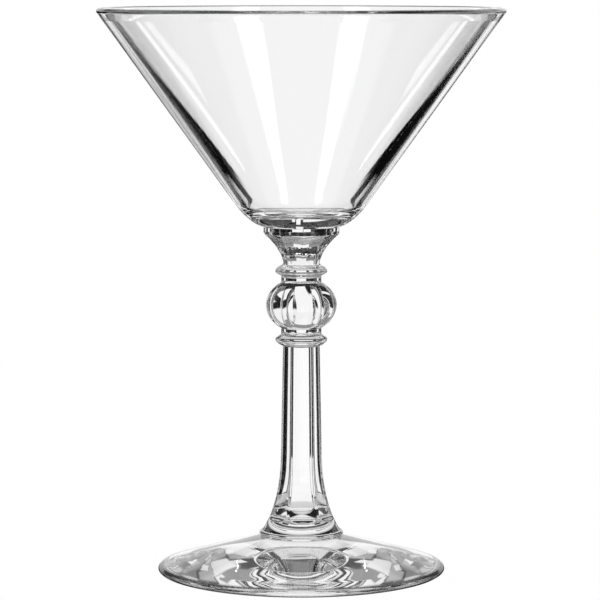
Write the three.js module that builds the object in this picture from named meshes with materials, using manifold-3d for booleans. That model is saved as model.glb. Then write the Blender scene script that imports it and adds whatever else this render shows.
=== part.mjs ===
// A cocktail glass: a conical bowl on a pressed stem shaped like a small column, with a wide foot.
// Millimetres, +Z up. The glass stands on z = 0 and turns about the Z axis.
// From the table upwards it is eight pieces of glass, fused one on the other while hot:
// foot, base ring, fluted column, lower collar, lobed knop, upper collar, capital and bowl.

import * as THREE from 'three';
import { mergeVertices } from 'three/addons/utils/BufferGeometryUtils.js';
import Module from 'manifold-3d';

// Foot: a shallow cone with a full edge that rolls under, slightly hollow underneath
const FOOT_RADIUS = 38.65;
const FOOT_HEIGHT = 10.1;
const FOOT_TOP_RADIUS = 10.9;
const FOOT_EDGE_HEIGHT = 1.3;
const FOOT_EDGE_RISE = 1.25;
const FOOT_EDGE_INSET = 2.1;
const FOOT_EDGE_UNDERCUT = 3.4;
const FOOT_RESTING_RING_WIDTH = 5;
const FOOT_HOLLOW_DEPTH = 0.4;

// Base ring: a bead between foot and column
const BASE_RING_RADIUS = 11.3;
const BASE_RING_HEIGHT = 1.6;

// Column: a round flared shaft with a shallow flute on each of its sides
const COLUMN_HEIGHT = 49.9;
const COLUMN_TOP_RADIUS = 4.95;
const COLUMN_WAIST_RADIUS = 5.5;
const COLUMN_BASE_RADIUS = 10.4;
const COLUMN_FLARE_HEIGHT = 20.4;
const COLUMN_FLARE_KNEE_HEIGHT = 7.4;
const FLUTE_COUNT = 6;
const FLUTE_HALF_ANGLE = THREE.MathUtils.degToRad(26.8);
const FLUTE_HOLLOW = 0.17;
const FLUTE_CUSP_HEIGHT = 4.6;
const FLUTE_END_ROUND = 1.5;

// Collars: two ringed beads, each with a short plain neck towards the knop
const COLLAR_RADIUS = 6.95;
const COLLAR_NECK_RADIUS = 5.4;
const COLLAR_NECK_HEIGHT = 1.3;
const COLLAR_KNOP_SIDE_HEIGHT = 1.6;
const COLLAR_FAR_SIDE_HEIGHT = 1.9;
const COLLAR_FAR_RADIUS = 5.15;

// Knop: an egg of glass pressed into wide and narrow lobes
const KNOP_RADIUS = 9.5;
const KNOP_HEIGHT = 12.4;
const KNOP_LOBE_PAIRS = 6;
const KNOP_WIDE_LOBE_HALF_ANGLE = THREE.MathUtils.degToRad(18);
const KNOP_GROOVE_DEPTH = 0.85;

// Capital: a many-sided bell that carries the bowl
const CAPITAL_HEIGHT = 10.2;
const CAPITAL_SIDES = 10;
const CAPITAL_NECK_RADIUS = 5.13;
const CAPITAL_FLANGE_RADIUS = 10.65;
const CAPITAL_FLANGE_HEIGHT = 1.9;
const CAPITAL_BELL_KNEE_HEIGHT = 4.3;
const CAPITAL_BELL_KNEE_STEP = 0.67;

// Bowl: a straight cone with a rounded bottom and a fire-polished lip
const BOWL_HEIGHT = 58.2;
const BOWL_RIM_RADIUS = 54.5;
const BOWL_CONE_ANGLE = THREE.MathUtils.degToRad(35.7);
const BOWL_LIP_THICKNESS = 2;
const BOWL_LIP_BEAD_LENGTH = 3;
const BOWL_UPPER_WALL = 1.65;
const BOWL_LOWER_WALL = 2.3;
const BOWL_FLOOR = 4.2;
const BOWL_SEAT_RADIUS = 10.9;
const BOWL_KNEE_HEIGHT = 1.35;
const BOWL_CONE_START_HEIGHT = 6.4;
const BOWL_INNER_KNEE_LENGTH = 6;

// The pressed pattern as it stands to the front of the glass, the -Y side
const FLUTE_TURN = THREE.MathUtils.degToRad(3.5);
const CAPITAL_TURN = THREE.MathUtils.degToRad(2.9);

// Facets: sides of a round piece, and steps along a curve of an outline
const BOWL_SIDES = 72;
const FOOT_SIDES = 64;
const RING_SIDES = 48;
const KNOP_SIDES_PER_PAIR = 10;
const KNOP_RINGS = 14;
const FLUTE_SIDES = 4;
const FLARE_STEPS = 10;
const CURVE_STEPS = 5;

// Levels where one piece is fused to the next
const BASE_RING_LEVEL = FOOT_HEIGHT;
const COLUMN_LEVEL = BASE_RING_LEVEL + BASE_RING_HEIGHT;
const COLLAR_HEIGHT = COLLAR_FAR_SIDE_HEIGHT + COLLAR_KNOP_SIDE_HEIGHT + COLLAR_NECK_HEIGHT;
const LOWER_COLLAR_LEVEL = COLUMN_LEVEL + COLUMN_HEIGHT;
const KNOP_LEVEL = LOWER_COLLAR_LEVEL + COLLAR_HEIGHT;
const UPPER_COLLAR_LEVEL = KNOP_LEVEL + KNOP_HEIGHT;
const CAPITAL_LEVEL = UPPER_COLLAR_LEVEL + COLLAR_HEIGHT;
const BOWL_LEVEL = CAPITAL_LEVEL + CAPITAL_HEIGHT;
const RIM_LEVEL = BOWL_LEVEL + BOWL_HEIGHT;

const wasm = await Module();
wasm.setup();

// Turns an outline of radius and height about the Z axis, its first side starting at the given angle
function revolve(outline, sides, startAngle = 0) {
  const points = outline.getPoints ? outline.getPoints(CURVE_STEPS) : outline;
  const geometry = new THREE.LatheGeometry(points, sides, startAngle);
  return geometry.rotateX(Math.PI / 2);
}

function toSolid(geometry) {
  const bare = geometry.clone();
  bare.deleteAttribute('normal');
  bare.deleteAttribute('uv');
  const merged = mergeVertices(bare);
  const vertProperties = new Float32Array(merged.attributes.position.array);
  const triVerts = new Uint32Array(merged.index.array);
  const mesh = new wasm.Mesh({ numProp: 3, vertProperties, triVerts });
  mesh.merge();
  return new wasm.Manifold(mesh);
}

function toGeometry(solid) {
  const mesh = solid.getMesh();
  const geometry = new THREE.BufferGeometry();
  geometry.setAttribute('position', new THREE.BufferAttribute(mesh.vertProperties, 3));
  geometry.setIndex(new THREE.BufferAttribute(mesh.triVerts, 1));
  geometry.computeVertexNormals();
  return geometry;
}

// Moves each point of a turned piece, still on its Y axis, to the radius given for its radius and angle
function press(geometry, pressedRadius) {
  const position = geometry.attributes.position;
  for (let i = 0; i < position.count; i += 1) {
    const radius = Math.hypot(position.getX(i), position.getZ(i));
    const angle = Math.atan2(position.getX(i), position.getZ(i));
    const ratio = radius > 0 ? pressedRadius(radius, angle) / radius : 1;
    position.setX(i, position.getX(i) * ratio);
    position.setZ(i, position.getZ(i) * ratio);
  }
  return geometry;
}

// The angle to the nearest of so many even places round the axis, one of them at zero
function fromNearest(angle, count) {
  const spacing = 2 * Math.PI / count;
  return angle - spacing * Math.round(angle / spacing);
}

function footGeometry() {
  const underEdge = FOOT_RADIUS - FOOT_EDGE_UNDERCUT;
  const hollowRadius = underEdge - FOOT_RESTING_RING_WIDTH;
  const edge = new THREE.Vector2(FOOT_RADIUS - FOOT_EDGE_INSET, FOOT_EDGE_HEIGHT);
  // The cone touches the edge's upper round, an ellipse that is drawn out to a circle to find the angle
  const toTop = new THREE.Vector2(FOOT_TOP_RADIUS, FOOT_HEIGHT).sub(edge);
  toTop.y *= FOOT_EDGE_INSET / FOOT_EDGE_RISE;
  const touchAngle = toTop.angle() - Math.acos(FOOT_EDGE_INSET / toTop.length());
  const outline = new THREE.Path()
    .moveTo(0, FOOT_HOLLOW_DEPTH)
    .quadraticCurveTo(hollowRadius / 2, FOOT_HOLLOW_DEPTH, hollowRadius, 0)
    .lineTo(underEdge, 0)
    .absellipse(underEdge, FOOT_EDGE_HEIGHT, FOOT_EDGE_UNDERCUT, FOOT_EDGE_HEIGHT, -Math.PI / 2, 0)
    .absellipse(edge.x, edge.y, FOOT_EDGE_INSET, FOOT_EDGE_RISE, 0, touchAngle)
    .lineTo(FOOT_TOP_RADIUS, FOOT_HEIGHT)
    .lineTo(0, FOOT_HEIGHT);
  return revolve(outline, FOOT_SIDES);
}

function baseRingGeometry() {
  const halfHeight = BASE_RING_HEIGHT / 2;
  const middle = BASE_RING_LEVEL + halfHeight;
  const bulge = BASE_RING_RADIUS - COLUMN_BASE_RADIUS;
  const outline = new THREE.Path()
    .moveTo(0, BASE_RING_LEVEL)
    .lineTo(COLUMN_BASE_RADIUS, BASE_RING_LEVEL)
    .absellipse(COLUMN_BASE_RADIUS, middle, bulge, halfHeight, -Math.PI / 2, Math.PI / 2)
    .lineTo(0, COLUMN_LEVEL);
  return revolve(outline, RING_SIDES);
}

// How far along a flare a height is reached, from 0 at its base to 1 at its top
function shareAtHeight(flare, height) {
  const rise = 2 * (flare.v1.y - flare.v0.y);
  const bend = flare.v0.y - 2 * flare.v1.y + flare.v2.y;
  const climb = height - flare.v0.y;
  return 2 * climb / (rise + Math.sqrt(rise * rise + 4 * bend * climb));
}

// A round flared shaft, cut to a many-sided one whose hollow flutes end in a rounded step above the base
function columnGeometry() {
  const base = new THREE.Vector2(COLUMN_BASE_RADIUS, COLUMN_LEVEL);
  const waist = new THREE.Vector2(COLUMN_WAIST_RADIUS, COLUMN_LEVEL + COLUMN_FLARE_HEIGHT);
  const top = new THREE.Vector2(COLUMN_TOP_RADIUS, LOWER_COLLAR_LEVEL);
  const taper = (waist.x - top.x) / (top.y - waist.y);
  const knee = new THREE.Vector2(waist.x, COLUMN_LEVEL + COLUMN_FLARE_KNEE_HEIGHT);
  knee.x += taper * (waist.y - knee.y);
  const flare = new THREE.QuadraticBezierCurve(base, knee, waist);
  const shaft = [
    new THREE.Vector2(0, base.y),
    ...flare.getPoints(FLARE_STEPS),
    top,
    new THREE.Vector2(0, top.y),
  ];

  const cornerAngle = Math.PI / FLUTE_COUNT;
  const cornerRatio = Math.cos(FLUTE_HALF_ANGLE) / Math.cos(cornerAngle);
  const cuspShare = shareAtHeight(flare, COLUMN_LEVEL + FLUTE_CUSP_HEIGHT);
  const cusp = flare.getPoint(cuspShare);
  const outside = 2 * COLUMN_BASE_RADIUS;
  const flutes = new THREE.Path()
    .moveTo(0, base.y - outside)
    .lineTo(outside, base.y - outside)
    .lineTo(outside, cusp.y - FLUTE_END_ROUND)
    .lineTo(cusp.x * cornerRatio + FLUTE_END_ROUND, cusp.y - FLUTE_END_ROUND)
    .quadraticCurveTo(cusp.x * cornerRatio, cusp.y - FLUTE_END_ROUND, cusp.x * cornerRatio, cusp.y);
  for (let step = 1; step <= FLARE_STEPS; step += 1) {
    const point = flare.getPoint(cuspShare + (1 - cuspShare) * step / FLARE_STEPS);
    flutes.lineTo(point.x * cornerRatio, point.y);
  }
  flutes.lineTo(top.x * cornerRatio, top.y);
  flutes.lineTo(top.x * cornerRatio, top.y + outside);
  flutes.lineTo(0, top.y + outside);

  const fluteRadius = (cornerRadius, angle) => {
    const across = fromNearest(angle, FLUTE_COUNT);
    const fromMiddle = Math.tan(across) / Math.tan(cornerAngle);
    const flat = cornerRadius * Math.cos(cornerAngle);
    return (flat - FLUTE_HOLLOW * (1 - fromMiddle ** 2)) / Math.cos(across);
  };
  const flutedOutline = new THREE.LatheGeometry(flutes.getPoints(CURVE_STEPS), FLUTE_COUNT * FLUTE_SIDES);
  const flutedShaft = press(flutedOutline, fluteRadius).rotateY(FLUTE_TURN).rotateX(Math.PI / 2);
  const roundShaft = revolve(shaft, RING_SIDES, FLUTE_TURN);
  return toGeometry(toSolid(roundShaft).intersect(toSolid(flutedShaft)));
}

// A bead with a plain neck on its knop side: direction 1 has the neck on top, -1 below
function collarGeometry(farLevel, direction) {
  const beadLevel = farLevel + direction * COLLAR_FAR_SIDE_HEIGHT;
  const neckLevel = beadLevel + direction * COLLAR_KNOP_SIDE_HEIGHT;
  const knopLevel = neckLevel + direction * COLLAR_NECK_HEIGHT;
  const outline = new THREE.Path()
    .moveTo(0, farLevel)
    .lineTo(COLLAR_FAR_RADIUS, farLevel)
    .bezierCurveTo(
      COLLAR_RADIUS, (farLevel + beadLevel) / 2,
      COLLAR_RADIUS, beadLevel - direction * COLLAR_FAR_SIDE_HEIGHT / 4,
      COLLAR_RADIUS, beadLevel,
    )
    .bezierCurveTo(
      COLLAR_RADIUS, (beadLevel + neckLevel) / 2,
      COLLAR_NECK_RADIUS, (beadLevel + neckLevel) / 2,
      COLLAR_NECK_RADIUS, neckLevel,
    )
    .lineTo(COLLAR_NECK_RADIUS, knopLevel)
    .lineTo(0, knopLevel);
  const points = outline.getPoints(CURVE_STEPS);
  return revolve(direction > 0 ? points : points.reverse(), RING_SIDES);
}

// How far a lobe falls away at an angle round the knop: 0 on its crest, 1 in the groove
function lobeFall(angle) {
  const pairHalfAngle = Math.PI / KNOP_LOBE_PAIRS;
  const fromWideCrest = Math.abs(fromNearest(angle, KNOP_LOBE_PAIRS));
  const share = fromWideCrest < KNOP_WIDE_LOBE_HALF_ANGLE
    ? fromWideCrest / KNOP_WIDE_LOBE_HALF_ANGLE
    : (pairHalfAngle - fromWideCrest) / (pairHalfAngle - KNOP_WIDE_LOBE_HALF_ANGLE);
  return share * share;
}

function knopGeometry() {
  const halfHeight = KNOP_HEIGHT / 2;
  const eggHalfHeight = halfHeight / Math.sqrt(1 - (COLLAR_NECK_RADIUS / KNOP_RADIUS) ** 2);
  const points = [new THREE.Vector2(0, KNOP_LEVEL)];
  for (let ring = 0; ring <= KNOP_RINGS; ring += 1) {
    const climb = KNOP_HEIGHT * ring / KNOP_RINGS;
    const radius = KNOP_RADIUS * Math.sqrt(1 - ((climb - halfHeight) / eggHalfHeight) ** 2);
    points.push(new THREE.Vector2(radius, KNOP_LEVEL + climb));
  }
  points.push(new THREE.Vector2(0, UPPER_COLLAR_LEVEL));
  const egg = new THREE.LatheGeometry(points, KNOP_LOBE_PAIRS * KNOP_SIDES_PER_PAIR);
  const lobeRadius = (radius, angle) => {
    const swell = Math.max(0, (radius - COLLAR_NECK_RADIUS) / (KNOP_RADIUS - COLLAR_NECK_RADIUS));
    return radius - KNOP_GROOVE_DEPTH * swell * lobeFall(angle);
  };
  return press(egg, lobeRadius).rotateY(FLUTE_TURN).rotateX(Math.PI / 2);
}

function capitalGeometry() {
  const flange = BOWL_LEVEL - CAPITAL_FLANGE_HEIGHT;
  const outline = new THREE.Path()
    .moveTo(0, CAPITAL_LEVEL)
    .lineTo(CAPITAL_NECK_RADIUS, CAPITAL_LEVEL)
    .quadraticCurveTo(
      CAPITAL_NECK_RADIUS + CAPITAL_BELL_KNEE_STEP, CAPITAL_LEVEL + CAPITAL_BELL_KNEE_HEIGHT,
      CAPITAL_FLANGE_RADIUS, flange,
    )
    .lineTo(CAPITAL_FLANGE_RADIUS, BOWL_LEVEL)
    .lineTo(0, BOWL_LEVEL);
  return revolve(outline, CAPITAL_SIDES, CAPITAL_TURN);
}

function bowlGeometry() {
  const along = new THREE.Vector2(Math.sin(BOWL_CONE_ANGLE), Math.cos(BOWL_CONE_ANGLE));
  const outward = new THREE.Vector2(along.y, -along.x);
  const lipRadius = BOWL_LIP_THICKNESS / 2;
  const lip = new THREE.Vector2(BOWL_RIM_RADIUS - lipRadius, RIM_LEVEL - lipRadius);
  const lipOutside = lip.clone().addScaledVector(outward, lipRadius);
  const atLevel = (wallPoint, direction, level) => {
    const distance = (level - wallPoint.y) / direction.y;
    return wallPoint.clone().addScaledVector(direction, distance);
  };

  const knee = atLevel(lipOutside, along, BOWL_LEVEL + BOWL_KNEE_HEIGHT);
  const coneStart = atLevel(lipOutside, along, BOWL_LEVEL + BOWL_CONE_START_HEIGHT);
  const underBead = lipOutside.clone()
    .addScaledVector(along, -BOWL_LIP_BEAD_LENGTH)
    .addScaledVector(outward, -BOWL_UPPER_WALL);
  const lowInside = coneStart.clone().addScaledVector(outward, -BOWL_LOWER_WALL);
  const alongInside = underBead.clone().sub(lowInside).normalize();
  const floor = BOWL_LEVEL + BOWL_FLOOR;
  const innerKnee = atLevel(lowInside, alongInside, floor);
  const innerCone = innerKnee.clone().addScaledVector(alongInside, BOWL_INNER_KNEE_LENGTH);
  const outline = new THREE.Path()
    .moveTo(0, BOWL_LEVEL)
    .lineTo(BOWL_SEAT_RADIUS, BOWL_LEVEL)
    .quadraticCurveTo(knee.x, knee.y, coneStart.x, coneStart.y)
    .lineTo(lipOutside.x, lipOutside.y)
    .absarc(lip.x, lip.y, lipRadius, -BOWL_CONE_ANGLE, Math.PI - BOWL_CONE_ANGLE)
    .lineTo(underBead.x, underBead.y)
    .lineTo(innerCone.x, innerCone.y)
    .quadraticCurveTo(innerKnee.x, innerKnee.y, innerKnee.x - BOWL_INNER_KNEE_LENGTH, floor)
    .lineTo(0, floor);
  return revolve(outline, BOWL_SIDES);
}

function glassPiece(name, geometry) {
  const material = new THREE.MeshStandardMaterial({
    color: 0xf2f5f4,
    roughness: 0.03,
    metalness: 0,
    transparent: true,
    opacity: 0.35,
  });
  const mesh = new THREE.Mesh(geometry, material);
  mesh.name = name;
  return mesh;
}

const glass = new THREE.Group();
glass.add(
  glassPiece('foot', footGeometry()),
  glassPiece('base_ring', baseRingGeometry()),
  glassPiece('column', columnGeometry()),
  glassPiece('lower_collar', collarGeometry(LOWER_COLLAR_LEVEL, 1)),
  glassPiece('knop', knopGeometry()),
  glassPiece('upper_collar', collarGeometry(CAPITAL_LEVEL, -1)),
  glassPiece('capital', capitalGeometry()),
  glassPiece('bowl', bowlGeometry()),
);

export default glass;
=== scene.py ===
import math
from typing import NamedTuple

import bpy
from bpy.props import FloatProperty, FloatVectorProperty, IntProperty, PointerProperty
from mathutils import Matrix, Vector


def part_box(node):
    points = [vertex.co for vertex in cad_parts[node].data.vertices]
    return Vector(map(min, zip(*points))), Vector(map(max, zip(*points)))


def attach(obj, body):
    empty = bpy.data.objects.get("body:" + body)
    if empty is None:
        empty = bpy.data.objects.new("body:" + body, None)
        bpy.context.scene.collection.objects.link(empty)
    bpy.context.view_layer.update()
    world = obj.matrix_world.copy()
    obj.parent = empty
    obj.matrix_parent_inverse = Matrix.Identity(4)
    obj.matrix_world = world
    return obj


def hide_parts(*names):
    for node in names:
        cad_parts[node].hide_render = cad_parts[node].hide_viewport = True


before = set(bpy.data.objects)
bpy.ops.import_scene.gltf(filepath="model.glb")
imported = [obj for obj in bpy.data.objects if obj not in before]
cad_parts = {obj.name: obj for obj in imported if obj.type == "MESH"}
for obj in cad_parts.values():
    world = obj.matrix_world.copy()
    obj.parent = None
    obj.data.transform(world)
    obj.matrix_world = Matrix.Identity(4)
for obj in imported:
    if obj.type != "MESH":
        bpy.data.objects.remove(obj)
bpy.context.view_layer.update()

bl_info = {
    "name": "Cocktail Glass",
    "version": (1, 0, 0),
    "blender": (4, 5, 0),
    "location": "3D View > Sidebar > Cocktail Glass",
    "description": "Turns and presses the pieces of a clear cocktail glass and lights them",
    "category": "Add Mesh",
}

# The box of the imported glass, before any piece is dressed
BODY = "root"
MM = 0.001
QUARTER_TURN = math.pi / 2.0

# How finely pieces are turned, and the stretches of their outlines drawn
TURNED_STEPS = 256
PRESSED_STEPS = 480
BEND_STEPS = 20
FLARE_STEPS = 90
SHAFT_STEPS = 12
EGG_STEPS = 60
BELL_STEPS = 40
FLANGE_STEPS = 4
LIP_STEPS = 28
EDGE_SUPPORT = 0.15 * MM

# What counts as the same point, the same level, a level face and a smooth edge
MERGE_DISTANCE = 0.0005 * MM
LEVEL_TOLERANCE = 0.001 * MM
LEVEL_NORMAL = 0.99
SMOOTH_ANGLE = math.radians(38.0)

# Places of the other finishes in a piece's list, after the glass itself; the inside of the bowl's wall
# has painted shade
JOINT_SLOT = 1
INSIDE_SLOT = 2

# How far a face on the inside of the bowl's wall turns to the axis, at the least
INSIDE_LEAN = 0.5

# The noise behind the waves in the glass and the patches of uneven polish
WAVE_DETAIL = 1.0
WAVE_ROUGHNESS = 0.4
PATCH_DETAIL = 3.0
PATCHES_PER_WAVE = 2.0
PATCH_START = 0.45
PATCH_FULL = 0.8

# The pressed pattern as it stands to the front of the glass, the -Y side
FLUTE_TURN = math.radians(3.5)
CAPITAL_TURN = math.radians(2.9)


def level_below(node):
    """The height at which a node starts."""
    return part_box(node)[0].z


def level_above(node):
    """The height at which a node ends."""
    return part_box(node)[1].z


def length(name, description, default):
    """A size in metres that a user can change."""
    return FloatProperty(
        name=name, description=description, default=default, min=0.0, precision=5, unit="LENGTH"
    )


def angle(name, description, degrees):
    """An angle that a user can change."""
    return FloatProperty(
        name=name, description=description, default=math.radians(degrees), unit="ROTATION"
    )


def number(name, description, default):
    """A plain number that a user can change."""
    return FloatProperty(name=name, description=description, default=default)


def count(name, description, default, least):
    """A whole number that a user can change."""
    return IntProperty(name=name, description=description, default=default, min=least)


def colour(name, description, default):
    """A colour that a user can change."""
    return FloatVectorProperty(
        name=name, description=description, default=default, size=3, min=0.0, max=1.0, subtype="COLOR"
    )


class FootSizes(bpy.types.PropertyGroup):
    """Sizes of the foot and of the base ring on it."""

    radius: length("Foot radius", "Half the width of the foot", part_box("foot")[1].x)
    top_radius: length("Top radius", "Radius where the foot's cone ends under the ring", 10.9 * MM)
    edge_height: length("Edge height", "Height of the foot's widest ring", 1.3 * MM)
    edge_rise: length("Edge rise", "How far the edge's upper round rises", 1.25 * MM)
    edge_inset: length("Edge inset", "How far the edge's upper round reaches inwards", 2.1 * MM)
    edge_undercut: length("Edge undercut", "How far the edge's lower round reaches inwards", 3.4 * MM)
    resting_ring: length("Resting ring", "Width of the flat ring that the foot stands on", 5.0 * MM)
    hollow: length("Hollow", "Depth of the hollow under the foot", 0.4 * MM)
    ring_radius: length("Base ring radius", "Half the width of the bead on the foot", 11.3 * MM)


class ColumnSizes(bpy.types.PropertyGroup):
    """Sizes of the fluted column."""

    base_radius: length("Base radius", "Radius of the round base of the column", 10.4 * MM)
    waist_radius: length("Waist radius", "Radius where the flare ends", 5.5 * MM)
    top_radius: length("Top radius", "Radius of the column's top end", 4.95 * MM)
    flare_height: length("Flare height", "Height of the flared part", 20.4 * MM)
    knee_height: length("Knee height", "Height of the knee that the flare heads for", 7.4 * MM)
    flutes: count("Flutes", "Number of shallow flutes", 6, 3)
    flute_hollow: length("Flute hollow", "How deep a flute is hollowed between its edges", 0.17 * MM)
    flute_half_angle: angle("Flute half angle", "Half the angle that one flute takes up", 25.6)
    cusp_height: length("Cusp height", "Height at which the flutes start to run out", 4.6 * MM)
    end_round: length("End round", "Size of the rounded step at a flute's end", 1.5 * MM)
    rib_round: length("Rib round", "Softness of the edges between flutes", 0.12 * MM)


class CollarSizes(bpy.types.PropertyGroup):
    """Sizes of the two collars."""

    radius: length("Bead radius", "Half the width of a collar's bead", 6.95 * MM)
    neck_radius: length("Neck radius", "Radius of the plain neck", 5.4 * MM)
    neck_height: length("Neck height", "Height of the plain neck", 1.3 * MM)
    neck_side: length("Neck side", "Height from the bead's widest ring to the neck", 1.6 * MM)
    far_radius: length("Far radius", "Radius of the end away from the neck", 5.15 * MM)


class KnopSizes(bpy.types.PropertyGroup):
    """Sizes of the lobed knop."""

    radius: length("Knop radius", "Half the width of the knop over its lobes", 9.5 * MM)
    lobe_pairs: count("Lobe pairs", "Pairs of a wide and a narrow lobe", 6, 2)
    wide_half_angle: angle("Wide lobe", "Half the angle that a wide lobe takes up", 18.0)
    groove: length("Groove", "Depth of the grooves between the lobes", 0.85 * MM)


class CapitalSizes(bpy.types.PropertyGroup):
    """Sizes of the many-sided capital."""

    sides: count("Sides", "Number of hollowed sides", 10, 3)
    neck_radius: length("Neck radius", "Corner radius at the lower end", 5.13 * MM)
    flange_radius: length("Flange radius", "Corner radius of the flange under the bowl", 10.65 * MM)
    flange_height: length("Flange height", "Height of the flange", 1.9 * MM)
    knee_height: length("Knee height", "Height of the knee that the bell heads for", 4.3 * MM)
    knee_step: length("Knee step", "How far the knee stands outside the neck", 0.67 * MM)
    side_hollow: number("Side hollow", "How deep a side is hollowed, as a share of its radius", 0.03)
    edge_round: length("Edge round", "Softness of the edges between the sides", 0.3 * MM)


class BowlSizes(bpy.types.PropertyGroup):
    """Sizes of the conical bowl."""

    rim_radius: length("Rim radius", "Half the width of the rim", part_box("bowl")[1].x)
    cone_angle: angle("Cone angle", "Angle of the wall to the upright", 35.7)
    lip: length("Lip", "Thickness of the fire-polished lip", 1.7 * MM)
    bead: length("Bead", "How far the lip's bead reaches down the wall", 2.5 * MM)
    upper_wall: length("Upper wall", "Thickness of the wall under the lip", 1.65 * MM)
    lower_wall: length("Lower wall", "Thickness of the wall where its cone starts", 2.3 * MM)
    floor: length("Floor", "Thickness of the bottom", 4.2 * MM)
    seat_radius: length("Seat radius", "Radius of the flat that sits on the capital", 10.9 * MM)
    knee_height: length("Knee height", "Height of the knee of the rounded bottom", 1.35 * MM)
    cone_start: length("Cone start", "Height at which the wall becomes straight", 6.4 * MM)
    inner_knee: length("Inner knee", "Length of the rounding inside the bottom", 3.0 * MM)


class GlassFinish(bpy.types.PropertyGroup):
    """Colour and surface of the glass, and the painted shade at its edges. Edge-on values run from 0,
    seen square on, to 1, seen edge-on.
    """

    tint: colour("Tint", "Colour of the clear glass", (0.995, 0.997, 0.996))
    refraction: number("Refraction", "Index of refraction", 1.52)
    dullness: number("Dullness", "Roughness where the polish is poorest", 0.025)
    blown_wave: length("Blown wave", "Height of the slow waves in the blown bowl", 0.02 * MM)
    blown_length: length("Blown wave length", "Length of the slow waves in the blown bowl", 30.0 * MM)
    pressed_wave: length("Pressed wave", "Height of the mould's waves in the pressed pieces", 0.03 * MM)
    pressed_length: length("Pressed wave length", "Length of the mould's waves", 9.0 * MM)
    # Painted shade: black mixed into the glass's colour where it is seen edge-on, on the bowl's inner
    # wall and on the foot's round edge, placed by the values below
    edge: colour("Edge", "Colour of the glass where it is seen edge-on", (0.0, 0.0, 0.0))
    edge_low: number("Edge at the bottom", "Edge-on value where the bowl's shade starts, low down", 0.425)
    edge_high: number("Edge at the rim", "Edge-on value where the bowl's shade starts, at the rim", 0.905)
    edge_softness: number("Edge softness", "Softness of the start of the bowl's shade", 0.012)
    edge_end: length("Edge end", "Height above the bowl's bottom at which its shade ends", 11.0 * MM)
    edge_fade: length("Edge fade", "Softness of the end of the bowl's shade", 2.75 * MM)
    foot_edge: number("Edge of the foot", "Edge-on value where the foot's shade starts", 0.42)
    foot_softness: number("Softness at the foot", "Softness of the start of the foot's shade", 0.15)
    foot_fade: length("Fade at the foot", "Softness of the top of the foot's shade", 0.25 * MM)


class StudioSettings(bpy.types.PropertyGroup):
    """Camera and table top."""

    camera_distance: length("Camera distance", "How far the camera stands in front of the axis", 0.860)
    camera_height: length("Camera height", "Height of the camera above the table", 0.164)
    camera_side: FloatProperty(
        name="Camera side", description="How far the camera stands to the right", default=-0.35 * MM,
        unit="LENGTH",
    )
    camera_pitch: angle("Camera pitch", "How far the camera looks down", 5.98)
    lens: FloatProperty(name="Lens", description="Focal length", default=193.44, unit="CAMERA")
    table_radius: length("Table radius", "Radius of the round table top", 0.47)
    table_glow: colour("Table glow", "Light that the white table top gives", (0.947, 0.947, 0.947))
    table_matt: colour("Table matt", "Matt colour that takes the shadow of the glass", (0.3, 0.3, 0.3))


class CocktailGlass(bpy.types.PropertyGroup):
    """Everything that a user can change."""

    foot: PointerProperty(type=FootSizes)
    column: PointerProperty(type=ColumnSizes)
    collar: PointerProperty(type=CollarSizes)
    knop: PointerProperty(type=KnopSizes)
    capital: PointerProperty(type=CapitalSizes)
    bowl: PointerProperty(type=BowlSizes)
    finish: PointerProperty(type=GlassFinish)
    studio: PointerProperty(type=StudioSettings)


def point(radius, height):
    """A point of an outline."""
    return Vector((radius, height))


def bend(start, knee, end, steps=BEND_STEPS):
    """A rounded bend that leaves start towards the knee and reaches end from it, without its start."""
    shares = [step / steps for step in range(1, steps + 1)]
    return [start.lerp(knee, share).lerp(knee.lerp(end, share), share) for share in shares]


def long_bend(start, first, second, end, steps=BEND_STEPS):
    """A bend with a handle at each end, without its start."""
    points = []
    for step in range(1, steps + 1):
        share = step / steps
        leaving = start.lerp(first, share).lerp(first.lerp(second, share), share)
        arriving = first.lerp(second, share).lerp(second.lerp(end, share), share)
        points.append(leaving.lerp(arriving, share))
    return points


def arc(centre, across, up, start, end, steps=BEND_STEPS):
    """Part of an ellipse from one angle to another, without its start."""
    points = []
    for step in range(1, steps + 1):
        turn = start + (end - start) * step / steps
        points.append(centre + point(across * math.cos(turn), up * math.sin(turn)))
    return points


def straight(start, end, steps=1):
    """A straight stretch without its start, with a point close to each end to keep its shading flat."""
    support = (end - start).normalized() * EDGE_SUPPORT
    near = start + support
    far = end - support
    inner = [near.lerp(far, step / steps) for step in range(steps + 1)]
    return inner + [end]


def turn_on_lathe(name, outline, steps=TURNED_STEPS):
    """Draw an outline that starts and ends on the axis, and spin it into a closed mesh."""
    bpy.ops.object.select_all(action="DESELECT")
    bpy.ops.mesh.primitive_plane_add(size=MM, enter_editmode=True, location=(0.0, 0.0, 0.0))
    bpy.ops.mesh.merge(type="CENTER")
    bpy.ops.transform.translate(value=(outline[0].x, 0.0, outline[0].y))
    for here, there in zip(outline, outline[1:]):
        step = there - here
        bpy.ops.mesh.extrude_vertices_move(TRANSFORM_OT_translate={"value": (step.x, 0.0, step.y)})
    bpy.ops.mesh.select_all(action="SELECT")
    bpy.ops.mesh.spin(steps=steps, angle=math.tau, center=(0.0, 0.0, 0.0), axis=(0.0, 0.0, 1.0))
    bpy.ops.mesh.select_all(action="SELECT")
    bpy.ops.mesh.remove_doubles(threshold=MERGE_DISTANCE)
    bpy.ops.mesh.normals_make_consistent(inside=False)
    bpy.ops.object.mode_set(mode="OBJECT")
    piece = bpy.context.active_object
    piece.name = name
    piece.data.name = name
    return piece


def press(piece, pressed_radius):
    """Push every point of a turned piece to the radius that the mould gives at its angle and height."""
    for vertex in piece.data.vertices:
        radius = vertex.co.xy.length
        if radius < LEVEL_TOLERANCE:
            continue
        turn = math.atan2(vertex.co.x, -vertex.co.y)
        ratio = pressed_radius(radius, turn, vertex.co.z) / radius
        vertex.co.x *= ratio
        vertex.co.y *= ratio


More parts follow.
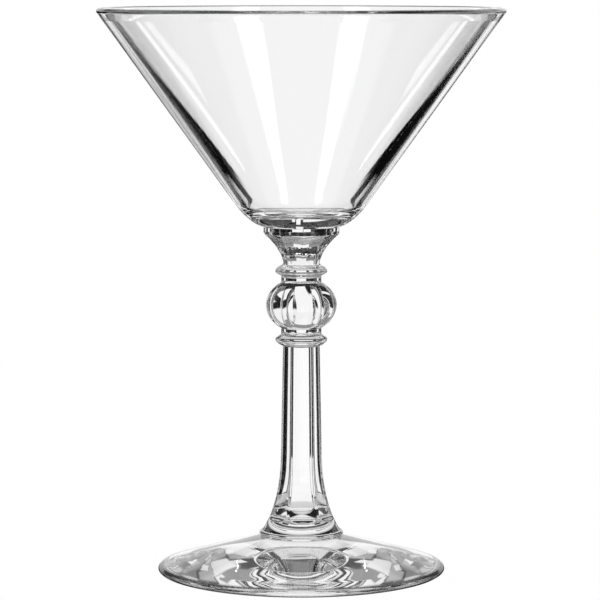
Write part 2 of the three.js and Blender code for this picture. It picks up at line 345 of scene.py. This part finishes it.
def soft_least(first, second, softness):
    """The smaller of two lengths, with a rounded change from one to the other."""
    share = min(1.0, max(0.0, 0.5 + 0.5 * (second - first) / softness))
    return second + (first - second) * share - softness * share * (1.0 - share)


def from_nearest(turn, places):
    """The angle to the nearest of so many even places round the axis, one of them at zero."""
    step = math.tau / places
    return turn - step * round(turn / step)


def fuse(piece, level, radius):
    """Clear the faces on which a neighbour is fused, so that light passes as through one glass."""
    for face in piece.data.polygons:
        on_level = abs(face.center.z - level) < LEVEL_TOLERANCE and abs(face.normal.z) > LEVEL_NORMAL
        if on_level and face.center.xy.length < radius:
            face.material_index = JOINT_SLOT


def finish_piece(piece, node, glass):
    """Shade a piece, give it its glass and put it in the place of its node."""
    bpy.ops.object.select_all(action="DESELECT")
    piece.select_set(True)
    bpy.context.view_layer.objects.active = piece
    bpy.ops.object.shade_smooth_by_angle(angle=SMOOTH_ANGLE)
    piece.data.materials.append(glass)
    piece.data.materials.append(joint_finish())
    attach(piece, BODY)
    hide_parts(node)


def new_material(name):
    """A material with an empty node tree."""
    material = bpy.data.materials.new(name)
    material.use_nodes = True
    material.node_tree.nodes.clear()
    return material


def add_node(tree, kind, **inputs):
    """Add a node and set its named inputs."""
    node = tree.nodes.new(kind)
    for name, value in inputs.items():
        node.inputs[name.replace("_", " ")].default_value = value
    return node


def compute(tree, operation, *values):
    """A Math node on sockets or plain numbers."""
    node = add_node(tree, "ShaderNodeMath")
    node.operation = operation
    for socket, value in zip(node.inputs, values):
        if isinstance(value, bpy.types.NodeSocket):
            tree.links.new(value, socket)
        else:
            socket.default_value = value
    return node.outputs["Value"]


def split(tree, place):
    """The X, Y and Z of a place."""
    axes = add_node(tree, "ShaderNodeSeparateXYZ")
    tree.links.new(place, axes.inputs["Vector"])
    return axes.outputs


def rise(tree, value, place, softness):
    """0 below a place and 1 above it, with a soft change between."""
    node = add_node(tree, "ShaderNodeMapRange", From_Min=place - softness, From_Max=place + softness)
    node.interpolation_type = "SMOOTHSTEP"
    tree.links.new(value, node.inputs["Value"])
    return node.outputs["Result"]


def fall(tree, value, place, softness):
    """1 below a place and 0 above it, with a soft change between."""
    return compute(tree, "SUBTRACT", 1.0, rise(tree, value, place, softness))


def glass_finish(name, wave_length, wave_height, edge=None):
    """Clear glass whose surface swells in slow waves, with a trace of uneven polish.

    An edge is a function that gives the glass its colour with painted shade, dark where it is seen
    edge-on.
    """
    existing = bpy.data.materials.get(name)
    if existing:
        return existing
    finish = bpy.context.scene.cocktail_glass.finish
    material = new_material(name)
    tree = material.node_tree
    place = add_node(tree, "ShaderNodeTexCoord").outputs["Object"]
    waves = add_node(
        tree, "ShaderNodeTexNoise",
        Scale=1.0 / wave_length, Detail=WAVE_DETAIL, Roughness=WAVE_ROUGHNESS,
    )
    swell = add_node(tree, "ShaderNodeBump", Strength=1.0, Distance=wave_height)
    patches = add_node(
        tree, "ShaderNodeTexNoise", Scale=PATCHES_PER_WAVE / wave_length, Detail=PATCH_DETAIL
    )
    polish = add_node(
        tree, "ShaderNodeMapRange",
        From_Min=PATCH_START, From_Max=PATCH_FULL, To_Min=0.0, To_Max=finish.dullness,
    )
    shader = add_node(
        tree, "ShaderNodeBsdfPrincipled",
        Base_Color=(*finish.tint, 1.0), IOR=finish.refraction, Transmission_Weight=1.0,
    )
    output = add_node(tree, "ShaderNodeOutputMaterial")
    tree.links.new(place, waves.inputs["Vector"])
    tree.links.new(waves.outputs["Fac"], swell.inputs["Height"])
    tree.links.new(swell.outputs["Normal"], shader.inputs["Normal"])
    tree.links.new(place, patches.inputs["Vector"])
    tree.links.new(patches.outputs["Fac"], polish.inputs["Value"])
    tree.links.new(polish.outputs["Result"], shader.inputs["Roughness"])
    tree.links.new(shader.outputs["BSDF"], output.inputs["Surface"])
    if edge:
        tree.links.new(edge(tree, place), shader.inputs["Base Color"])
    return material


def edge_on(tree):
    """0 where the glass is seen square on and 1 where it is seen edge-on."""
    return add_node(tree, "ShaderNodeLayerWeight", Blend=0.5).outputs["Facing"]


def mixed_with_painted_shade(tree, amount):
    """The tint of the glass, mixed by an amount towards the colour of the painted shade."""
    finish = bpy.context.scene.cocktail_glass.finish
    shade = add_node(tree, "ShaderNodeMix")
    shade.data_type = "RGBA"
    shade.inputs["A"].default_value = (*finish.tint, 1.0)
    shade.inputs["B"].default_value = (*finish.edge, 1.0)
    tree.links.new(amount, shade.inputs["Factor"])
    return shade.outputs["Result"]


def painted_wall_shade(tree, place):
    """Painted shade, dark where the inside of the bowl's wall is seen edge-on, in a wedge that widens
    downwards.
    """
    finish = bpy.context.scene.cocktail_glass.finish
    bottom, top = level_below("bowl"), level_above("bowl")
    height = split(tree, place)["Z"]
    start = add_node(
        tree, "ShaderNodeMapRange",
        From_Min=bottom, From_Max=top, To_Min=finish.edge_low, To_Max=finish.edge_high,
    )
    tree.links.new(height, start.inputs["Value"])
    past_start = compute(tree, "SUBTRACT", edge_on(tree), start.outputs["Result"])
    across = rise(tree, past_start, 0.0, finish.edge_softness)
    above = rise(tree, height, bottom + finish.edge_end, finish.edge_fade)
    return mixed_with_painted_shade(tree, compute(tree, "MULTIPLY", across, above))


def painted_foot_shade(tree, place):
    """Painted shade, dark where the round edge of the foot is seen edge-on."""
    finish = bpy.context.scene.cocktail_glass.finish
    sizes = bpy.context.scene.cocktail_glass.foot
    across = rise(tree, edge_on(tree), finish.foot_edge, finish.foot_softness)
    edge_top = level_below("foot") + sizes.edge_height + sizes.edge_rise
    below = fall(tree, split(tree, place)["Z"], edge_top, finish.foot_fade)
    return mixed_with_painted_shade(tree, compute(tree, "MULTIPLY", across, below))


def joint_finish():
    """The inside of a fused joint, where there is no surface to see."""
    existing = bpy.data.materials.get("fused_joint")
    if existing:
        return existing
    material = new_material("fused_joint")
    tree = material.node_tree
    shader = add_node(tree, "ShaderNodeBsdfPrincipled", Alpha=0.0)
    output = add_node(tree, "ShaderNodeOutputMaterial")
    tree.links.new(shader.outputs["BSDF"], output.inputs["Surface"])
    return material


def blown_glass():
    """The glass of the bowl."""
    finish = bpy.context.scene.cocktail_glass.finish
    return glass_finish("clear_blown_glass", finish.blown_length, finish.blown_wave)


def blown_glass_inside():
    """The glass of the bowl on the inside of its wall, with painted shade where it is seen edge-on."""
    finish = bpy.context.scene.cocktail_glass.finish
    return glass_finish("clear_blown_glass_inside_painted_shade", finish.blown_length, finish.blown_wave, painted_wall_shade)


def pressed_glass():
    """The glass of the stem."""
    finish = bpy.context.scene.cocktail_glass.finish
    return glass_finish("clear_pressed_glass", finish.pressed_length, finish.pressed_wave)


def foot_glass():
    """The glass of the foot, with painted shade on its round edge."""
    finish = bpy.context.scene.cocktail_glass.finish
    return glass_finish(
        "clear_pressed_glass_foot_painted_shade", finish.pressed_length, finish.pressed_wave, painted_foot_shade
    )


class MakeFoot(bpy.types.Operator):
    """Turn the foot, a shallow cone with a rounded edge and a hollow underside."""

    bl_idname = "cocktail_glass.make_foot"
    bl_label = "Foot"

    def execute(self, context):
        sizes = context.scene.cocktail_glass.foot
        base_radius = context.scene.cocktail_glass.column.base_radius
        bottom, top = level_below("foot"), level_above("foot")
        widest = bottom + sizes.edge_height
        under_edge = point(sizes.radius - sizes.edge_undercut, bottom)
        under_centre = point(under_edge.x, widest)
        hollow_edge = point(under_edge.x - sizes.resting_ring, bottom)
        hollow_top = point(0.0, bottom + sizes.hollow)
        edge_centre = point(sizes.radius - sizes.edge_inset, widest)
        cone_top = point(sizes.top_radius, top)
        # The cone touches the edge's upper round, an ellipse drawn out to a circle to find the angle
        to_top = cone_top - edge_centre
        to_top.y *= sizes.edge_inset / sizes.edge_rise
        touch = math.atan2(to_top.y, to_top.x) - math.acos(sizes.edge_inset / to_top.length)
        outline = [hollow_top]
        outline += bend(hollow_top, point(hollow_edge.x / 2.0, hollow_top.y), hollow_edge)
        outline += straight(hollow_edge, under_edge)
        outline += arc(under_centre, sizes.edge_undercut, sizes.edge_height, -QUARTER_TURN, 0.0)
        outline += arc(edge_centre, sizes.edge_inset, sizes.edge_rise, 0.0, touch)
        outline += straight(outline[-1], cone_top)
        outline.append(point(base_radius, top))
        outline.append(point(0.0, top))
        piece = turn_on_lathe("foot_glass", outline)
        fuse(piece, top, base_radius)
        finish_piece(piece, "foot", foot_glass())
        return {"FINISHED"}


class MakeBaseRing(bpy.types.Operator):
    """Turn the bead between foot and column."""

    bl_idname = "cocktail_glass.make_base_ring"
    bl_label = "Base ring"

    def execute(self, context):
        sizes = context.scene.cocktail_glass.foot
        core = context.scene.cocktail_glass.column.base_radius
        bottom, top = level_below("base_ring"), level_above("base_ring")
        middle = point(core, (bottom + top) / 2.0)
        half_height = (top - bottom) / 2.0
        outline = [point(0.0, bottom), point(core, bottom)]
        outline += arc(middle, sizes.ring_radius - core, half_height, -QUARTER_TURN, QUARTER_TURN)
        outline.append(point(0.0, top))
        piece = turn_on_lathe("base_ring_glass", outline)
        fuse(piece, bottom, core)
        fuse(piece, top, core)
        finish_piece(piece, "base_ring", pressed_glass())
        return {"FINISHED"}


class MakeColumn(bpy.types.Operator):
    """Turn the flared column and press its hollow flutes, which end in rounded steps above the base."""

    bl_idname = "cocktail_glass.make_column"
    bl_label = "Column"

    def execute(self, context):
        sizes = context.scene.cocktail_glass.column
        bottom, top = level_below("column"), level_above("column")
        base = point(sizes.base_radius, bottom)
        waist = point(sizes.waist_radius, bottom + sizes.flare_height)
        end = point(sizes.top_radius, top)
        taper = (waist.x - end.x) / (end.y - waist.y)
        knee = point(waist.x, bottom + sizes.knee_height)
        knee.x += taper * (waist.y - knee.y)
        outline = [point(0.0, bottom), base]
        outline += bend(base, knee, waist, FLARE_STEPS)
        outline += straight(waist, end, SHAFT_STEPS)
        outline.append(point(0.0, top))
        piece = turn_on_lathe("column_glass", outline, PRESSED_STEPS)

        cusp = bottom + sizes.cusp_height
        flat = math.cos(sizes.flute_half_angle)
        corner_angle = math.pi / sizes.flutes

        def fluted(radius, turn, height):
            """The radius of the round shaft, or of a flute where that is less."""
            below_cusp = (cusp - height) / sizes.end_round
            if below_cusp >= 1.0:
                return radius
            step = (1.0 - math.sqrt(1.0 - max(0.0, below_cusp))) ** 2
            middle = radius * flat + sizes.end_round * math.cos(corner_angle) * step
            across = from_nearest(turn - FLUTE_TURN, sizes.flutes)
            from_middle = math.tan(across) / math.tan(corner_angle)
            hollow = sizes.flute_hollow * (1.0 - from_middle ** 2)
            return soft_least(radius, (middle - hollow) / math.cos(across), sizes.rib_round)

        press(piece, fluted)
        fuse(piece, bottom, sizes.base_radius)
        fuse(piece, top, sizes.top_radius)
        finish_piece(piece, "column", pressed_glass())
        return {"FINISHED"}


class MakeCollars(bpy.types.Operator):
    """Turn the two ringed collars below and above the knop."""

    bl_idname = "cocktail_glass.make_collars"
    bl_label = "Collars"

    def execute(self, context):
        self.make(context, "lower_collar", level_below("lower_collar"), level_above("lower_collar"))
        self.make(context, "upper_collar", level_above("upper_collar"), level_below("upper_collar"))
        return {"FINISHED"}

    def make(self, context, node, far, knop_side):
        """Turn one collar from the level of its far end to the level where its neck meets the knop."""
        sizes = context.scene.cocktail_glass.collar
        way = math.copysign(1.0, knop_side - far)
        neck = knop_side - way * sizes.neck_height
        bead = neck - way * sizes.neck_side
        widest = point(sizes.radius, bead)
        shoulder = point(sizes.radius, (far + bead) / 2.0)
        far_edge = point(sizes.far_radius, far)
        neck_edge = point(sizes.neck_radius, neck)
        between = (bead + neck) / 2.0
        outline = [point(0.0, far), far_edge]
        outline += long_bend(far_edge, shoulder, shoulder.lerp(widest, 0.5), widest)
        outline += long_bend(
            widest, point(sizes.radius, between), point(sizes.neck_radius, between), neck_edge
        )
        outline += straight(neck_edge, point(sizes.neck_radius, knop_side))
        outline.append(point(0.0, knop_side))
        piece = turn_on_lathe(node + "_glass", outline)
        fuse(piece, far, sizes.far_radius)
        fuse(piece, knop_side, sizes.neck_radius)
        finish_piece(piece, node, pressed_glass())


class MakeKnop(bpy.types.Operator):
    """Turn the egg-shaped knop and press its wide and narrow lobes."""

    bl_idname = "cocktail_glass.make_knop"
    bl_label = "Knop"

    def execute(self, context):
        sizes = context.scene.cocktail_glass.knop
        neck_radius = context.scene.cocktail_glass.collar.neck_radius
        bottom, top = level_below("knop"), level_above("knop")
        centre = point(0.0, (bottom + top) / 2.0)
        end_turn = math.acos(neck_radius / sizes.radius)
        egg_half_height = (top - bottom) / 2.0 / math.sin(end_turn)
        outline = [point(0.0, bottom), point(neck_radius, bottom)]
        outline += arc(centre, sizes.radius, egg_half_height, -end_turn, end_turn, EGG_STEPS)
        outline.append(point(0.0, top))
        piece = turn_on_lathe("knop_glass", outline, PRESSED_STEPS)

        pair_half_angle = math.pi / sizes.lobe_pairs
        narrow_half_angle = pair_half_angle - sizes.wide_half_angle

        def lobed(radius, turn, height):
            """The radius of the egg, less the groove beside the lobe at this angle."""
            swell = max(0.0, (radius - neck_radius) / (sizes.radius - neck_radius))
            from_crest = abs(from_nearest(turn - FLUTE_TURN, sizes.lobe_pairs))
            if from_crest < sizes.wide_half_angle:
                to_groove = from_crest / sizes.wide_half_angle
            else:
                to_groove = (pair_half_angle - from_crest) / narrow_half_angle
            return radius - sizes.groove * swell * to_groove ** 2

        press(piece, lobed)
        fuse(piece, bottom, neck_radius)
        fuse(piece, top, neck_radius)
        finish_piece(piece, "knop", pressed_glass())
        return {"FINISHED"}


class MakeCapital(bpy.types.Operator):
    """Turn the bell-shaped capital and press its hollowed sides."""

    bl_idname = "cocktail_glass.make_capital"
    bl_label = "Capital"

    def execute(self, context):
        sizes = context.scene.cocktail_glass.capital
        bottom, top = level_below("capital"), level_above("capital")
        neck = point(sizes.neck_radius, bottom)
        flange = point(sizes.flange_radius, top - sizes.flange_height)
        knee = point(sizes.neck_radius + sizes.knee_step, bottom + sizes.knee_height)
        rim = point(sizes.flange_radius, top)
        outline = [point(0.0, bottom), neck]
        outline += bend(neck, knee, flange, BELL_STEPS)
        outline += straight(flange, rim, FLANGE_STEPS)
        outline.append(point(0.0, top))
        piece = turn_on_lathe("capital_glass", outline, PRESSED_STEPS)

        half_side = math.pi / sizes.sides

        def sided(radius, turn, height):
            """The radius of the round bell, or of a hollowed side where that is less."""
            side = from_nearest(turn - CAPITAL_TURN - half_side, sizes.sides)
            from_middle = math.tan(side) / math.tan(half_side)
            hollow = sizes.side_hollow * (1.0 - from_middle ** 2)
            pressed = radius * (math.cos(half_side) - hollow) / math.cos(side)
            return soft_least(radius - sizes.edge_round / 2.0, pressed, sizes.edge_round)

        press(piece, sided)
        fuse(piece, bottom, sizes.neck_radius)
        fuse(piece, top, sizes.flange_radius)
        finish_piece(piece, "capital", pressed_glass())
        return {"FINISHED"}


class MakeBowl(bpy.types.Operator):
    """Turn the bowl, a straight cone with a rounded bottom and a fire-polished lip."""

    bl_idname = "cocktail_glass.make_bowl"
    bl_label = "Bowl"

    def execute(self, context):
        sizes = context.scene.cocktail_glass.bowl
        bottom, top = level_below("bowl"), level_above("bowl")
        along = point(math.sin(sizes.cone_angle), math.cos(sizes.cone_angle))
        outward = point(along.y, -along.x)
        lip_radius = sizes.lip / 2.0
        lip = point(sizes.rim_radius - lip_radius, top - lip_radius)
        lip_outside = lip + outward * lip_radius
        lip_inside = lip - outward * lip_radius

        def at_level(wall_point, direction, level):
            """The point of a wall at a level."""
            return wall_point + direction * ((level - wall_point.y) / direction.y)

        seat = point(sizes.seat_radius, bottom)
        knee = at_level(lip_outside, along, bottom + sizes.knee_height)
        cone_start = at_level(lip_outside, along, bottom + sizes.cone_start)
        under_bead = lip_outside - along * sizes.bead - outward * sizes.upper_wall
        bead_knee = lip_inside - along * sizes.bead / 2.0
        low_inside = cone_start - outward * sizes.lower_wall
        along_inside = (under_bead - low_inside).normalized()
        floor = bottom + sizes.floor
        inner_knee = at_level(low_inside, along_inside, floor)
        inner_cone = inner_knee + along_inside * sizes.inner_knee
        floor_edge = point(inner_knee.x - sizes.inner_knee, floor)
        outline = [point(0.0, bottom), seat]
        outline += bend(seat, knee, cone_start)
        outline += straight(cone_start, lip_outside)
        outline += arc(
            lip, lip_radius, lip_radius, -sizes.cone_angle, math.pi - sizes.cone_angle, LIP_STEPS
        )
        outline += bend(lip_inside, bead_knee, under_bead)
        outline += straight(under_bead, inner_cone)
        outline += bend(inner_cone, inner_knee, floor_edge)
        outline += straight(floor_edge, point(0.0, floor))
        piece = turn_on_lathe("bowl_glass", outline)
        fuse(piece, bottom, sizes.seat_radius)
        finish_piece(piece, "bowl", blown_glass())
        # The inside of the bowl's wall gets the glass with painted shade
        piece.data.materials.append(blown_glass_inside())
        for face in piece.data.polygons:
            if face.normal.xy.dot(face.center.xy.normalized()) < -INSIDE_LEAN:
                face.material_index = INSIDE_SLOT
        return {"FINISHED"}


class Card(NamedTuple):
    """A card or light around the glass. Angles are in degrees, heading 0 is behind the glass.

    Brightness 1 is white. The slope is how steeply the card climbs with its heading.
    """

    heading: float
    half_width: float
    low: float
    high: float
    softness: float
    brightness: float
    slope: float = 0.0


# White screens with dark gaps between them, repeated in every quarter of the studio
SCREEN_SOFTNESS = 0.6
WHITE = 1.0
MIDDLE_SCREEN = Card(0.0, 9.5, -30.0, 5.0, SCREEN_SOFTNESS, WHITE)
SIDE_SCREEN = Card(90.0, 6.0, -12.0, 5.0, SCREEN_SOFTNESS, WHITE)
CORNER_SCREEN = Card(45.0, 4.5, -27.0, 5.0, SCREEN_SOFTNESS, WHITE)
LOW_MIDDLE_SCREEN = Card(19.0, 4.5, -26.0, -10.5, SCREEN_SOFTNESS, WHITE)
LOW_SIDE_SCREEN = Card(71.0, 4.5, -26.0, -10.5, SCREEN_SOFTNESS, WHITE)
SCREENS = [MIDDLE_SCREEN, SIDE_SCREEN, CORNER_SCREEN, LOW_MIDDLE_SCREEN, LOW_SIDE_SCREEN]

# Walls, floor and lights, the same on the left and on the right
BACKDROP = Card(0.0, 28.0, 0.5, 16.5, 1.5, 0.95)
BACKDROP_TOP = Card(0.0, 14.0, 5.0, 24.0, 1.5, 0.95)
BACKDROP_FOOT = Card(0.0, 40.0, 0.5, 10.0, 1.5, 0.95)
WALLS = Card(0.0, 115.0, 5.0, 30.0, 2.0, 0.25)
CAMERA_SIDE = Card(180.0, 65.0, 5.0, 30.0, 2.0, 0.1)
SIDE_BOX = Card(52.0, 12.0, -2.0, 30.0, 2.5, 0.9)
LOW_SIDE = Card(74.0, 22.0, -60.0, -15.0, 3.0, 0.5)
FLOOR = Card(0.0, 85.0, -95.0, -42.0, 4.0, 0.6)
UNDER_GLASS = Card(0.0, 200.0, -95.0, -57.0, 3.0, 0.9)
UPPER_WALL = Card(0.0, 30.0, 30.0, 46.0, 2.0, 0.7)
OVERHEAD = Card(0.0, 25.0, 50.0, 75.0, 3.0, 0.2)
BROAD_STRIP = Card(124.0, 11.0, 60.0, 67.5, 1.0, 3.0)
THIN_STRIP = Card(48.0, 13.5, 31.4, 32.3, 0.25, 3.0, slope=0.47)
LIGHTS = [
    BACKDROP, BACKDROP_TOP, BACKDROP_FOOT, WALLS, CAMERA_SIDE, SIDE_BOX, LOW_SIDE, FLOOR, UNDER_GLASS,
    UPPER_WALL, OVERHEAD, BROAD_STRIP, THIN_STRIP,
]

# Brightness of the gaps, where no card stands
SHADOW = 0.01

# Light runs far along inside the bowl's wall, and a lower limit of bounces would lose it
LIGHT_BOUNCES = 200
JOINT_BOUNCES = 64

# The camera's sensor in millimetres, and the corners of the round table top
SENSOR_WIDTH = 36.0
TABLE_SIDES = 128


def lit(tree, heading, height, card):
    """The brightness of a card where it stands, 0 elsewhere."""
    softness = math.radians(card.softness)
    along = compute(tree, "SUBTRACT", heading, math.radians(card.heading))
    across = fall(tree, compute(tree, "ABSOLUTE", along), math.radians(card.half_width), softness)
    level = compute(tree, "MULTIPLY_ADD", along, -card.slope, height)
    above = rise(tree, level, math.radians(card.low), softness)
    below = fall(tree, level, math.radians(card.high), softness)
    upright = compute(tree, "MULTIPLY", above, below)
    return compute(tree, "MULTIPLY", compute(tree, "MULTIPLY", across, upright), card.brightness)


def studio_walls(tree):
    """The brightness that the glass sees in each direction."""
    axes = split(tree, add_node(tree, "ShaderNodeTexCoord").outputs["Generated"])
    heading = compute(tree, "ABSOLUTE", compute(tree, "ARCTAN2", axes["X"], axes["Y"]))
    quarter = compute(tree, "PINGPONG", heading, QUARTER_TURN)
    height = compute(tree, "ARCSINE", axes["Z"])
    brightness = SHADOW
    for card in SCREENS:
        brightness = compute(tree, "MAXIMUM", brightness, lit(tree, quarter, height, card))
    for card in LIGHTS:
        brightness = compute(tree, "MAXIMUM", brightness, lit(tree, heading, height, card))
    return brightness


def make_world():
    """White for the camera, and the studio's walls for the glass and the table."""
    world = bpy.data.worlds.new("studio")
    world.use_nodes = True
    tree = world.node_tree
    tree.nodes.clear()
    around = add_node(tree, "ShaderNodeBackground", Color=(1.0, 1.0, 1.0, 1.0))
    white = add_node(tree, "ShaderNodeBackground", Color=(1.0, 1.0, 1.0, 1.0))
    rays = add_node(tree, "ShaderNodeLightPath")
    choice = add_node(tree, "ShaderNodeMixShader")
    output = add_node(tree, "ShaderNodeOutputWorld")
    tree.links.new(studio_walls(tree), around.inputs["Strength"])
    tree.links.new(rays.outputs["Is Camera Ray"], choice.inputs["Fac"])
    tree.links.new(around.outputs["Background"], choice.inputs[1])
    tree.links.new(white.outputs["Background"], choice.inputs[2])
    tree.links.new(choice.outputs["Shader"], output.inputs["Surface"])
    bpy.context.scene.world = world


def table_finish():
    """A white table top that keeps a faint shadow."""
    settings = bpy.context.scene.cocktail_glass.studio
    material = new_material("table_top")
    tree = material.node_tree
    glow = add_node(tree, "ShaderNodeEmission", Color=(*settings.table_glow, 1.0))
    matt = add_node(tree, "ShaderNodeBsdfDiffuse", Color=(*settings.table_matt, 1.0))
    both = add_node(tree, "ShaderNodeAddShader")
    output = add_node(tree, "ShaderNodeOutputMaterial")
    tree.links.new(glow.outputs["Emission"], both.inputs[0])
    tree.links.new(matt.outputs["BSDF"], both.inputs[1])
    tree.links.new(both.outputs["Shader"], output.inputs["Surface"])
    return material


class MakeStage(bpy.types.Operator):
    """Set up the table top, the studio around it and the camera."""

    bl_idname = "cocktail_glass.make_stage"
    bl_label = "Stage"

    def execute(self, context):
        settings = context.scene.cocktail_glass.studio
        bpy.ops.object.select_all(action="DESELECT")
        bpy.ops.mesh.primitive_circle_add(
            vertices=TABLE_SIDES, radius=settings.table_radius, fill_type="NGON", location=(0.0, 0.0, 0.0)
        )
        table = context.active_object
        table.name = "table_top"
        table.data.materials.append(table_finish())
        # The glass sees the studio's walls, which go on below the table's level
        table.visible_glossy = False
        table.visible_transmission = False
        make_world()

        bpy.ops.object.camera_add(
            location=(settings.camera_side, -settings.camera_distance, settings.camera_height),
            rotation=(QUARTER_TURN - settings.camera_pitch, 0.0, 0.0),
        )
        camera = context.active_object
        camera.data.lens = settings.lens
        camera.data.sensor_width = SENSOR_WIDTH
        context.scene.camera = camera

        context.scene.view_settings.view_transform = "Standard"
        light_paths = context.scene.cycles
        light_paths.max_bounces = LIGHT_BOUNCES
        light_paths.transmission_bounces = LIGHT_BOUNCES
        light_paths.glossy_bounces = LIGHT_BOUNCES
        light_paths.transparent_max_bounces = JOINT_BOUNCES
        light_paths.blur_glossy = 0.0
        return {"FINISHED"}


OPERATORS = [
    MakeFoot, MakeBaseRing, MakeColumn, MakeCollars, MakeKnop, MakeCapital, MakeBowl, MakeStage,
]


class CocktailGlassPanel(bpy.types.Panel):
    """Lists the pieces of the glass and the stage."""

    bl_idname = "VIEW3D_PT_cocktail_glass"
    bl_label = "Cocktail Glass"
    bl_space_type = "VIEW_3D"
    bl_region_type = "UI"
    bl_category = "Cocktail Glass"

    def draw(self, context):
        for operator in OPERATORS:
            self.layout.operator(operator.bl_idname)


CLASSES = [
    FootSizes, ColumnSizes, CollarSizes, KnopSizes, CapitalSizes, BowlSizes, GlassFinish,
    StudioSettings, CocktailGlass, *OPERATORS, CocktailGlassPanel,
]


def register():
    """Register the classes and hang the settings on the scene."""
    for kind in CLASSES:
        bpy.utils.register_class(kind)
    bpy.types.Scene.cocktail_glass = PointerProperty(type=CocktailGlass)


def unregister():
    """Take the settings and the classes away again."""
    del bpy.types.Scene.cocktail_glass
    for kind in reversed(CLASSES):
        bpy.utils.unregister_class(kind)


def main():
    """Make the glass piece by piece from the foot up, then the stage."""
    register()
    bpy.ops.cocktail_glass.make_foot()
    bpy.ops.cocktail_glass.make_base_ring()
    bpy.ops.cocktail_glass.make_column()
    bpy.ops.cocktail_glass.make_collars()
    bpy.ops.cocktail_glass.make_knop()
    bpy.ops.cocktail_glass.make_capital()
    bpy.ops.cocktail_glass.make_bowl()
    bpy.ops.cocktail_glass.make_stage()


if __name__ == "__main__":
    main()
